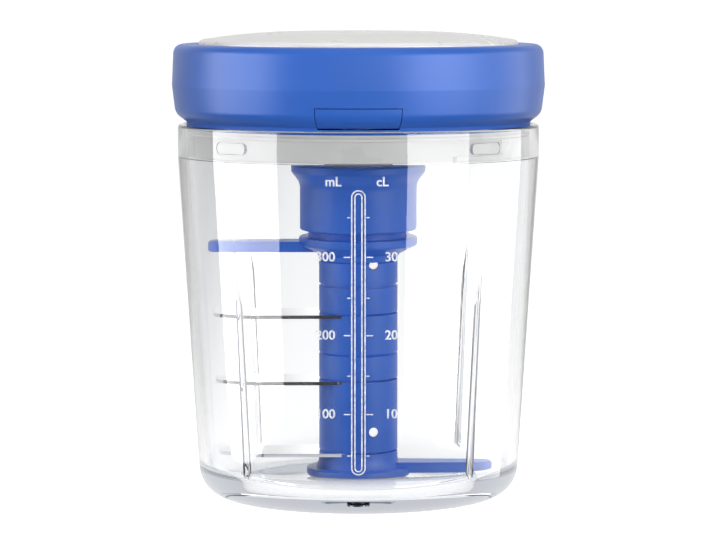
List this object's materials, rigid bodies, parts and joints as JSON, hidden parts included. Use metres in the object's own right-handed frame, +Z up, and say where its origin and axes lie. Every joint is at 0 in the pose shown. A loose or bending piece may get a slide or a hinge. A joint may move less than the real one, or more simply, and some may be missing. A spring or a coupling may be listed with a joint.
{
  "type": "hand-pulled rotary food chopper",
  "caption": "Hand-pulled food chopper: clear graduated bowl, bladed spindle with mixing arms, and a bayonet lid with a recoil cord and pull handle.",
  "frame": {"origin": "centre of the bowl's base, on the surface it stands on", "axes": "+Z up along the spindle, -Y to the front, where the pull handle is"},
  "size_m": [0.0976, 0.0976, 0.1221],
  "materials": {
    "clear_plastic": "clear polished moulded plastic",
    "blue_plastic": "satin moulded",
    "pale_plastic": "smooth off-white moulded",
    "white_plastic": "natural acetal",
    "silicone": "smooth silicone",
    "blade_steel": "ground and brushed",
    "steel": "turned",
    "cord": "braided"
  },
  "bodies": {
    "bowl": {"bowl": "clear_plastic", "pivot_pin": "steel"},
    "spindle": {"foot_stem": "blue_plastic", "foot_bush": "white_plastic", "blade_lower": "blade_steel", "blade_middle": "blade_steel", "blade_upper": "blade_steel", "lower_spacer": "blue_plastic", "middle_spacer": "blue_plastic", "upper_spacer": "blue_plastic", "neck_spacer": "blue_plastic", "arm_collar": "blue_plastic", "drive_socket": "blue_plastic", "stem_screw": "steel"},
    "seal": {"seal_ring": "silicone"},
    "lid": {"lid_base": "pale_plastic", "lid_ring": "blue_plastic", "lid_cap": "pale_plastic", "shaft_bush": "white_plastic", "spring_cup": "white_plastic", "spring_cover": "white_plastic", "recoil_spring": "steel", "cup_screws": "steel", "base_screws": "steel", "cord_guide": "white_plastic", "cord_lead": "cord"},
    "spool": {"spool": "white_plastic", "cord_winding": "cord", "drive_shaft": "white_plastic"},
    "handle": {"pull_handle": "blue_plastic", "cord_stop": "steel", "pull_cord": "cord"}
  },
  "joints": [
    {"name": "lid_lift", "type": "slide", "parent": "bowl", "child": "seal", "axis": [0, 0, 1], "range_m": [0, 0.06]},
    {"name": "lid_turn", "type": "hinge", "parent": "seal", "child": "lid", "pos_m": [0, 0, 0.093], "axis": [0, 0, 1], "range_deg": [0, 20]},
    {"name": "handle_pull", "type": "slide", "parent": "lid", "child": "handle", "axis": [0, -1, 0], "range_m": [0, 0.25], "stiffness_N_per_m": 12, "springref_m": -0.15},
    {"name": "spool_spin", "type": "hinge", "parent": "lid", "child": "spool", "pos_m": [0, 0, 0.102], "axis": [0, 0, 1], "range_deg": [0, 840]},
    {"name": "blade_spin", "type": "hinge", "parent": "bowl", "child": "spindle", "pos_m": [0, 0, 0.014], "axis": [0, 0, 1], "range_deg": [0, 840]}
  ],
  "couplings": [
    {"joint": "spool_spin", "follows": "handle_pull", "rad_per_m": 57.8},
    {"joint": "blade_spin", "follows": "handle_pull", "rad_per_m": 57.8}
  ]
}
